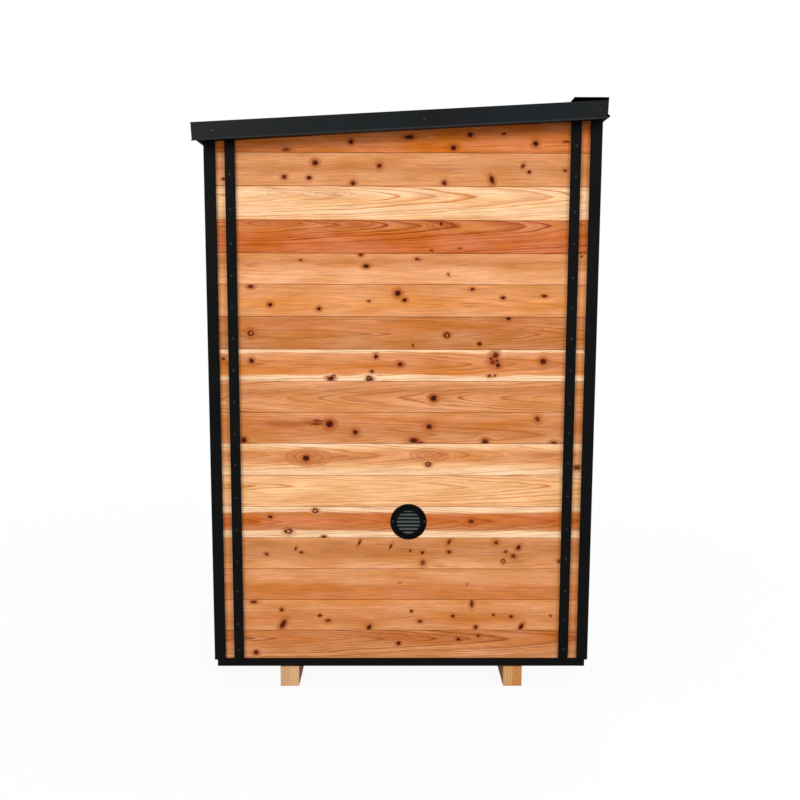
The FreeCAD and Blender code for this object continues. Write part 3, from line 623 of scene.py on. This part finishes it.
# the board's own map: metres along it and metres across it from its lower edge
def mapGrain(piece, axis, foot, shift, flip=1, across=2):
    layer = piece.data.uv_layers.get("grain") or piece.data.uv_layers.new(name="grain")
    piece.data.uv_layers.active = layer
    points = piece.data.vertices
    for corner in piece.data.loops:
        place = points[corner.vertex_index].co
        layer.data[corner.index].uv = (flip * place[axis] + shift, place[across] - foot)
    for other in [item for item in piece.data.uv_layers if item.name != "grain"]:
        piece.data.uv_layers.remove(other)


def buildBoards(name, low, high, axis):
    gap = boardSettings["gap"] / 2
    first = startBoard(name + "_board_01", Vector((low.x, low.y, low.z + gap)),
                       Vector((high.x, high.y, low.z + cover - gap)), axis)
    foot = Vector((low.x, low.y, low.z + cover - gap))
    head = Vector((high.x, high.y, low.z + cover + gap))
    side = 1 - axis
    foot[side], head[side] = [(low[side] + high[side]) / 2 + half * boardSettings["tongue"]
                              for half in (-0.5, 0.5)]
    first = join([first, startBlock("tongue", foot, head)], first.name)
    count = math.ceil((high.z - low.z) / cover - 0.01)
    boards = [first] + [copyPiece(first, "%s_board_%02d" % (name, course + 1), (0, 0, course * cover))
                        for course in range(1, count)]
    for board in boards:
        if max(vertex.co.z for vertex in board.data.vertices) > rearHigh.z - 0.05:
            cutAway(board, roofPlace, roofNormal)
    return boards


# real boards vary in width: in mm, how far each joint lies above an even course, from the lowest up
jointLifts = (-7, -5, -2, 0, 2, 2, 5, 3, 1, 0, 1, 0, -7, -7, -5, -6)


def shiftJoints(boards):
    for course, board in enumerate(boards):
        below = jointLifts[course - 1] / 1000 if course > 0 else 0
        above = jointLifts[course] / 1000 if course < len(jointLifts) else 0
        middle = wallFoot + (course + 0.5) * cover
        for vertex in board.data.vertices:
            vertex.co.z += above if vertex.co.z > middle else below


sideBoards = buildBoards("vent_side", wallLow, Vector((wallHigh.x, wallHigh.y, frontHigh.z)), 0)
shiftJoints(sideBoards)
ventCourse = round((ventLow.z - wallFoot) / cover)
for course, board in enumerate(sideBoards):
    mapGrain(board, 0, wallFoot + course * cover, 0)
    board.data.materials.append(materials[courseCount - 1 - course])
    ready(board)
    if course < ventCourse:
        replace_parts(board, "vent_side_wall_lower")
    elif course == ventCourse:
        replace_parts(board, "vent_plank")
    else:
        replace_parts(board, "vent_side_wall_upper")

# the hole for the sleeve
ventSettings = {
    "holeRadius": 0.051,
    "holeDepth": 0.2,
    "meshRadius": 0.048,
    "meshThickness": 0.0006,
    "meshBehindFace": 0.006,
}
grilleLow, grilleHigh = boxOf("vent_grille")
ventMiddle = (grilleLow + grilleHigh) / 2
ventFace = Vector((ventMiddle.x, wallLow.y, ventMiddle.z))
cutter = startRound("hole", ventSettings["holeRadius"], ventSettings["holeDepth"], ventFace)
ventBoard = sideBoards[ventCourse]
onlySelect(ventBoard)
hole = ventBoard.modifiers.new("hole", "BOOLEAN")
hole.object = cutter
hole.operation = "DIFFERENCE"
bpy.ops.object.modifier_apply(modifier="hole")
bpy.data.objects.remove(cutter)
mapGrain(ventBoard, 0, wallFoot + ventCourse * cover, 0)

print("mesh behind the louvres")
# an insect screen whose near-black, nearly closed weave also stands in for the shade deep in the duct
ventMesh = startRound("vent_insect_mesh", ventSettings["meshRadius"], ventSettings["meshThickness"],
                      ventFace + Vector((0, ventSettings["meshBehindFace"], 0)))
ventMesh.data.materials.append(wovenMaterial("black woven glass fibre mesh"))
ready(ventMesh)

print("boards of the other walls")
rng = random.Random(17)
wallShift, otherShift = 0.25, 0.3        # how far a board's figure may be moved along it, in metres

# the other walls repeat the same boards in another order, shifted and turned end for end, all but the top
# one, whose upper edge is darkened with painted shade from the rake trim and suits only its own place under
# it
plainBoards = materials[1:]
for node, name, axis, skip in (("plain_side_wall", "plain_side", 0, 5), ("rear_wall", "rear", 1, 9),
                               ("front_wall_vent_side", "front_vent_side", 1, 2),
                               ("front_wall_plain_side", "front_plain_side", 1, 12)):
    low, high = boxOf(node)
    boards = buildBoards(name, low, high, axis)
    for course, board in enumerate(boards):
        flip = rng.choice((-1, 1))
        mapGrain(board, axis, low.z + course * cover, rng.uniform(-wallShift, wallShift), flip)
        board.data.materials.append(plainBoards[(course * 7 + skip + rng.randrange(3)) % len(plainBoards)])
    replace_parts(ready(join(boards, name + "_boards")), node)

low, high = boxOf("front_wall_over_door")
overFoot = wallFoot + math.floor((low.z - wallFoot) / cover) * cover
overBoards = buildBoards("over_door", Vector((low.x, low.y, overFoot)), high, 1)
cutAway(overBoards[0], low, (0, 0, -1))
for course, board in enumerate(overBoards):
    mapGrain(board, 1, overFoot + course * cover, rng.uniform(-otherShift, otherShift))
    board.data.materials.append(plainBoards[(course * 5 + 3) % len(plainBoards)])
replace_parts(ready(join(overBoards, "over_door_boards")), "front_wall_over_door")

print("floor and roof boards")


# boards laid side by side over a deck; those of the roof are level when they are made and then tilted
def layBoards(deck, axis, palette, step, sloping=False):
    low, high = boxOf(deck + "_deck")
    foot = low.copy()
    if sloping:
        low.z, high.z = 0, high.z - low.z - roofSlope * (high.x - low.x)
    side = 1 - axis
    count = round((high[side] - low[side]) / cover)
    width = (high[side] - low[side]) / count
    head = high.copy()
    head[side] = low[side] + width - boardSettings["gap"]
    pitch = Vector((0, 0, 0))
    pitch[side] = width
    first = startBoard(deck + "_board_01", low, head, axis)
    boards = [first] + [copyPiece(first, "%s_board_%02d" % (deck, index + 1), pitch * index)
                        for index in range(1, count)]
    for index, board in enumerate(boards):
        mapGrain(board, axis, low[side] + index * width, rng.uniform(-otherShift, otherShift),
                 rng.choice((-1, 1)), side)
        board.data.materials.append(palette[(index * step + 1) % len(palette)])
    laid = join(boards, deck + "_boards")
    if sloping:
        tiltWithRoof(laid, foot)
    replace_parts(ready(laid), deck + "_deck")


# the floor's palette still holds the top vent board, with its painted shade along one edge
layBoards("floor", 0, materials, 5)
layBoards("roof", 1, plainBoards, 3, True)

print("finishes of the frame's own pieces")


def dress(names, material):
    for name in names:
        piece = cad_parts[name]
        if not piece.material_slots:
            piece.data.materials.append(material)
        for place in piece.material_slots:
            place.material = material


# Black powder coat on the trims: satin, near black, faintly pebbled.
trimCoat = coatMaterial("black powder coated trim", {
    "tone": "070808", "worn": "0c0c0c", "patch": 160, "roughness": 0.5, "grain": 1.6, "bump": 0.00006,
    "shine": 0.05})
# Coated sheet steel of the roof's edges: smoother, a touch bluer, and faintly dusty.
flashingCoat = coatMaterial("black coated sheet steel", {
    "tone": "0d1012", "worn": "13171a", "patch": 240, "roughness": 0.4, "grain": 2.5, "bump": 0.00005,
    "shine": 0.1})
# Roll formed roof sheet: the same coat, bleached a little by the weather.
sheetCoat = coatMaterial("black coated ribbed steel", {
    "tone": "15181a", "worn": "23272a", "patch": 320, "roughness": 0.45, "grain": 3.0, "bump": 0.00006,
    "shine": 0.2})
# Hinges and screws: thin hard coats, glossier on their small rounded edges.
hingeCoat = coatMaterial("black coated hinge steel", {
    "tone": "101112", "worn": "1b1c1d", "patch": 30, "roughness": 0.38, "grain": 0.8, "bump": 0.00003,
    "shine": 0.35})
screwCoat = coatMaterial("black coated screw steel", {
    "tone": "0e0f10", "worn": "1d2022", "patch": 3, "roughness": 0.3, "grain": 0.8, "bump": 0.00003,
    "shine": 0.36})
dress([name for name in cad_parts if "corner_trim" in name or "strap" in name or "base_band" in name],
      trimCoat)
dress(["vent_side_rake_trim", "plain_side_rake_trim", "low_eave_trim", "high_cap_flashing"], flashingCoat)
dress(["roof_sheet"], sheetCoat)
dress(["upper_hinge", "lower_hinge"], hingeCoat)
# the pale blade tone is a painted highlight on the louvre lips
dress(["vent_grille"], ventMaterial("black moulded vent plastic", {
    "ring": "020202", "lipHighlight": "565b5d", "pitch": 0.0148, "bladeReach": 0.0478, "roughness": 0.5,
    "shine": 0.05}, ventMiddle))
dress(["vent_sleeve"], spunMaterial("spun aluminium sleeve", ventMiddle))
dress(["door_glass"], glassMaterial("grey tinted glass"))

# Sawn softwood skids: pale dry ends with growth arcs, rougher long faces darkened brown with painted shade.
skidTimber = {"along": 1, "ringWidth": 11, "show": 0.55, "wander": 0.02, "fibre": 0.16, "roughness": 0.75,
              "bump": 0.0006, "longFaceShade": "8a5429"}
for name, early, late, pith in (("rear_skid_outer_ply", "dcae80", "a56a34", (-0.53, 0, 0.12)),
                                ("rear_skid_inner_ply", "e2b98a", "ab7038", (-0.40, 0, -0.03)),
                                ("front_skid_inner_ply", "d9a76c", "a3682c", (0.36, 0, 0.05)),
                                ("front_skid_outer_ply", "cc8e50", "9c5620", (0.50, 0, 0.13))):
    dress([name], timberMaterial("sawn softwood " + name.replace("_", " "), {
        **skidTimber, "early": early, "late": late, "pith": pith}))

# Planed cedar of the door frame: straight grain along each member.
frameTimber = {"pith": (0.60, -0.15, 0.30), "ringWidth": 5, "early": "dc9762", "late": "a9622f",
               "show": 0.6, "wander": 0.02, "fibre": 0.08, "roughness": 0.5, "bump": 0.0003}
dress(["door_jamb_hinge_side", "door_jamb_latch_side"],
      timberMaterial("planed cedar upright", {**frameTimber, "along": 2}))
dress(["door_head", "door_sill"], timberMaterial("planed cedar crosspiece", {**frameTimber, "along": 1}))
dress(["door_handle"], timberMaterial("turned cedar grip", {
    **frameTimber, "along": 2, "pith": (0.70, -0.33, 1.0), "ringWidth": 4, "early": "cf8651",
    "late": "8f4a20"}))

print("closures under the rakes")

# a strip of the same sheet steel closes the slot between the wall and the foot of each rake trim, and is
# notched round the straps and the corner trims; besides closing the slot, it is a dark sheet whose black
# underside stands in for the shade line right under the rake's foot
closureSettings = {
    "thickness": 0.0012,
    "belowDeck": 0.0024,      # its upper face below the underside of the roof deck
    "clearance": 0.0004,      # left free all round
}
deckLow = boxOf("roof_deck")[0]
for name, walls, wall, side in (("vent_side_rake_closure", "vent_side", wallLow, -1),
                                ("plain_side_rake_closure", "plain_side", boxOf("plain_side_wall")[1], 1)):
    uprights = [boxOf(node % walls) for node in ("rear_corner_trim_%s", "%s_strap_rear", "%s_strap_front",
                                                 "front_corner_trim_%s")]
    free = closureSettings["clearance"]
    planks = side * wall.y + free
    trims = max(side * corner.y for upright in uprights[:2] for corner in upright) + free
    strips = [(uprights[0][0].x, uprights[-1][1].x, trims, abs(deckLow.y) - free)]
    strips += [(before[1].x + free, after[0].x - free, planks, trims)
               for before, after in zip(uprights, uprights[1:])]
    top = -closureSettings["belowDeck"]
    blocks = []
    for rear, front, inner, outer in strips:
        ends = sorted((side * inner, side * outer))
        blocks.append(startBlock(name, Vector((rear, ends[0], top - closureSettings["thickness"])),
                                 Vector((front, ends[1], top))))
    closure = join(blocks, name)
    tiltWithRoof(closure, deckLow)
    closure.data.materials.append(flashingCoat)
    ready(closure)

print("screws")

screwSettings = {
    "head": (0.0045, 0.0022, 0.0022),       # radius, height, radius of the recess
    "roofHead": (0.007, 0.004, 0.003),
    "strapHeights": {         # measured along the two straps beside the vent
        "vent_side_strap_rear": (2.059, 1.926, 1.797, 1.675, 1.552, 1.432, 1.307, 1.182, 1.053, 0.930, 0.795,
                                 0.663, 0.533, 0.408, 0.270, 0.161),
        "vent_side_strap_front": (2.172, 2.056, 1.921, 1.801, 1.671, 1.552, 1.433, 1.309, 1.177, 1.057,
                                  0.936, 0.803, 0.667, 0.544, 0.410, 0.288, 0.162),
    },
    "strapDrop": 0.024,       # elsewhere a screw sits this far below the middle of its board
    "strapSpread": 0.008,
    "strapEnd": 0.04,         # and never nearer than this to the top of the strap
}


# a pan head with a square recess, standing on z = 0
def makeScrewHead(name, size, sides):
    radius, height, recess = size
    head = startRound(name, radius, height, (0, 0, height / 2), sides, 0)
    selectEdges(head, lambda a, b: min(a.z, b.z) > height * 0.9)
    bpy.ops.mesh.bevel(offset=height * 0.55, segments=3, affect="EDGES")
    bpy.ops.mesh.select_mode(type="FACE")
    bpy.ops.mesh.select_all(action="DESELECT")
    setMode("OBJECT")
    for face in head.data.polygons:
        face.select = face.normal.z > 0.99 and face.center.z > height * 0.9
    setMode("EDIT")
    bpy.ops.mesh.inset(thickness=radius - height * 0.55 - recess)
    bpy.ops.mesh.extrude_region_move(TRANSFORM_OT_translate={"value": (0, 0, -height * 0.6)})
    setMode("OBJECT")
    bpy.ops.object.shade_smooth_by_angle(angle=math.radians(40))
    head.data.materials.append(screwCoat)
    return head


screwHead = makeScrewHead("screw_head", screwSettings["head"], 14)
roofHead = makeScrewHead("roof_screw_head", screwSettings["roofHead"], 12)


# heads at the given places, all facing one way, joined into one piece
def setScrews(name, head, places, facing):
    aim = Vector(facing).to_track_quat("Z", "Y").to_matrix().to_4x4()
    heads = []
    for index, place in enumerate(places):
        heads.append(copyPiece(head, "%s_%02d" % (name, index + 1)))
        turned = Matrix.Rotation(rng.uniform(0, math.pi), 4, "Z")
        heads[-1].data.transform(Matrix.Translation(place) @ aim @ turned)
    ready(join(heads, name))


for name in sorted(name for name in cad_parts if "strap" in name):
    low, high = boxOf(name)
    face = (low + high) / 2
    axis = 1 if high.x - low.x > high.y - low.y else 0      # along which the strap's face looks out
    side = 1 if face[axis] > 0 else -1
    face[axis] = (high if side > 0 else low)[axis]
    facing = Vector((0, 0, 0))
    facing[axis] = side
    heights = screwSettings["strapHeights"].get(name)
    if heights is None:
        heights = [wallFoot + (course + 0.5) * cover - screwSettings["strapDrop"]
                   + rng.uniform(-1, 1) * screwSettings["strapSpread"] for course in range(courseCount)]
        heights = [height for height in heights if height < high.z - screwSettings["strapEnd"]]
    setScrews(name + "_screws", screwHead, [(face.x, face.y, height) for height in heights], facing)

# along the rake trims, in their upright faces, which stand in from the foot's edge
rakeScrews = {"along": (-0.7275, 0.0658, 0.7243), "aboveFoot": 0.034, "fromEdge": 0.008}
for name, side in (("vent_side_rake_trim", -1), ("plain_side_rake_trim", 1)):
    low, high = boxOf(name)
    faceY = side * (max(abs(low.y), abs(high.y)) - rakeScrews["fromEdge"])
    setScrews(name + "_screws", screwHead, [
        (along, faceY, low.z + roofSlope * (along - low.x) + rakeScrews["aboveFoot"])
        for along in rakeScrews["along"]], (0, side, 0))

# two in the ring of the vent
ventScrews = {"reach": 0.0635, "depth": 0.0021, "lift": 0.002}
setScrews("vent_screws", screwHead, [
    (ventMiddle.x + side * ventScrews["reach"], grilleLow.y + ventScrews["depth"],
     ventMiddle.z + ventScrews["lift"]) for side in (-1, 1)], (0, -1, 0))

# four in each hinge
hingeScrews = {"leaf": 0.003, "across": 0.021, "up": 0.022}
leafFace = boxOf("door_jamb_hinge_side")[1].x + hingeScrews["leaf"]
for name in ("upper_hinge", "lower_hinge"):
    low, high = boxOf(name)
    middle = (low + high) / 2
    setScrews(name + "_screws", screwHead, [
        (leafFace, middle.y + side * hingeScrews["across"], middle.z + step * hingeScrews["up"])
        for side in (-1, 1) for step in (-1, 1)], (1, 0, 0))

# roof screws in the flats beside the ribs, from the low eave up to the cap
roofScrews = {"rows": 4, "firstRow": 0.12, "underCap": 0.15, "ribPitch": 0.2286, "ribCount": 9,
              "fromRib": 0.036, "reach": 0.9, "flatDrop": 0.015}
sheetLow, sheetHigh = boxOf("roof_sheet")
rowPitch = (sheetHigh.x - sheetLow.x - roofScrews["underCap"] - 2 * roofScrews["firstRow"]) / (
    roofScrews["rows"] - 1)
roofPlaces = []
for row in range(roofScrews["rows"]):
    along = sheetLow.x + roofScrews["firstRow"] + row * rowPitch
    flat = sheetHigh.z - roofScrews["flatDrop"] - roofSlope * (sheetHigh.x - along)
    for rib in range(roofScrews["ribCount"]):
        across = (rib - (roofScrews["ribCount"] - 1) / 2) * roofScrews["ribPitch"] + roofScrews["fromRib"]
        if abs(across) < roofScrews["reach"]:
            roofPlaces.append((along, across, flat))
setScrews("roof_sheet_screws", roofHead, roofPlaces, roofNormal)
for spare in (screwHead, roofHead):
    bpy.data.objects.remove(spare)

print("floor and lights")


# 1 for what the camera sees straight, in metal or through glass
def seenShare(tree):
    path = addNode(tree, "LightPath").outputs
    return greatest(tree, [path[kind] for kind in ("Is Camera Ray", "Is Glossy Ray", "Is Transmission Ray")])


# the floor keeps the cabin's shadow under it and grows white further out
floorSettings = {"size": 40, "paint": 0.75, "glow": (1.2, 5.0, 0.94, 1.0)}
bpy.ops.mesh.primitive_plane_add(size=floorSettings["size"], location=(0, 0, 0))
floor = bpy.context.active_object
floor.name = "studio_floor"
floorMaterial, tree = newMaterial("pale studio floor")
seen = seenShare(tree)
paint = addNode(tree, "BsdfDiffuse", {"Color": grey(floorSettings["paint"])})
glow = addNode(tree, "Emission", {"Color": grey(1.0), "Strength": 1.0})
away = addNode(tree, "VectorMath LENGTH", [addNode(tree, "TexCoord").outputs["Object"]])
away = addNode(tree, "MapRange", [away, *floorSettings["glow"]], **soft)
glowPart = addNode(tree, "Math MULTIPLY", [seen, away])
addNode(tree, "OutputMaterial", [addNode(tree, "MixShader", [glowPart, paint, glow])])
floor.data.materials.append(floorMaterial)

world = bpy.data.worlds.new("studio")
bpy.context.scene.world = world
world.use_nodes = True
world.node_tree.nodes.clear()
tree = world.node_tree
plain = addNode(tree, "Background", {"Color": grey(1.0), "Strength": 0.34})
white = addNode(tree, "Background", {"Color": grey(1.0), "Strength": 1.0})
addNode(tree, "OutputWorld", [addNode(tree, "MixShader", [seenShare(tree), plain, white])])

# place, what the lamp looks at, side in metres, watts
lamps = {
    "key": ((-3.2, -5.6, 4.3), (0, -0.9, 1.1), 2.6, 193),
    "fill": ((4.0, -5.4, 3.9), (0, -0.9, 1.1), 2.6, 135),
    "top": ((0, -0.6, 6.4), (0, -0.5, 0), 4.0, 200),
    "back": ((2.0, 6.0, 5.0), (0, 0.9, 1.2), 4.0, 280),
}
for name, (place, aim, size, power) in lamps.items():
    light = bpy.data.lights.new(name, "AREA")
    light.shape = "SQUARE"
    light.size = size
    light.energy = power
    lamp = bpy.data.objects.new(name, light)
    lamp.location = place
    lamp.rotation_euler = (Vector(aim) - Vector(place)).to_track_quat("-Z", "Y").to_euler()
    bpy.context.collection.objects.link(lamp)

print("camera")
cameraSettings = {
    "lens": 41.22,
    "sensor": 36,
    "pitch": 7.097,          # degrees down
    "yaw": 0.477,
    "roll": 0.179,
    "place": (-0.0507, -4.5033, 1.6374),
}
pitch, yaw, roll = (math.radians(cameraSettings[name]) for name in ("pitch", "yaw", "roll"))
forward = Vector((math.sin(yaw) * math.cos(pitch), math.cos(yaw) * math.cos(pitch), -math.sin(pitch)))
right = Vector((math.cos(yaw), -math.sin(yaw), 0))
up = right.cross(forward)
rolledRight = right * math.cos(roll) + up * math.sin(roll)
rolledUp = up * math.cos(roll) - right * math.sin(roll)
cameraData = bpy.data.cameras.new("camera")
cameraData.lens = cameraSettings["lens"]
cameraData.sensor_width = cameraSettings["sensor"]
camera = bpy.data.objects.new("camera", cameraData)
turn = Matrix((rolledRight, rolledUp, -forward)).transposed().to_4x4()
camera.matrix_world = Matrix.Translation(cameraSettings["place"]) @ turn
bpy.context.collection.objects.link(camera)
bpy.context.scene.camera = camera
bpy.context.scene.view_settings.view_transform = "Standard"
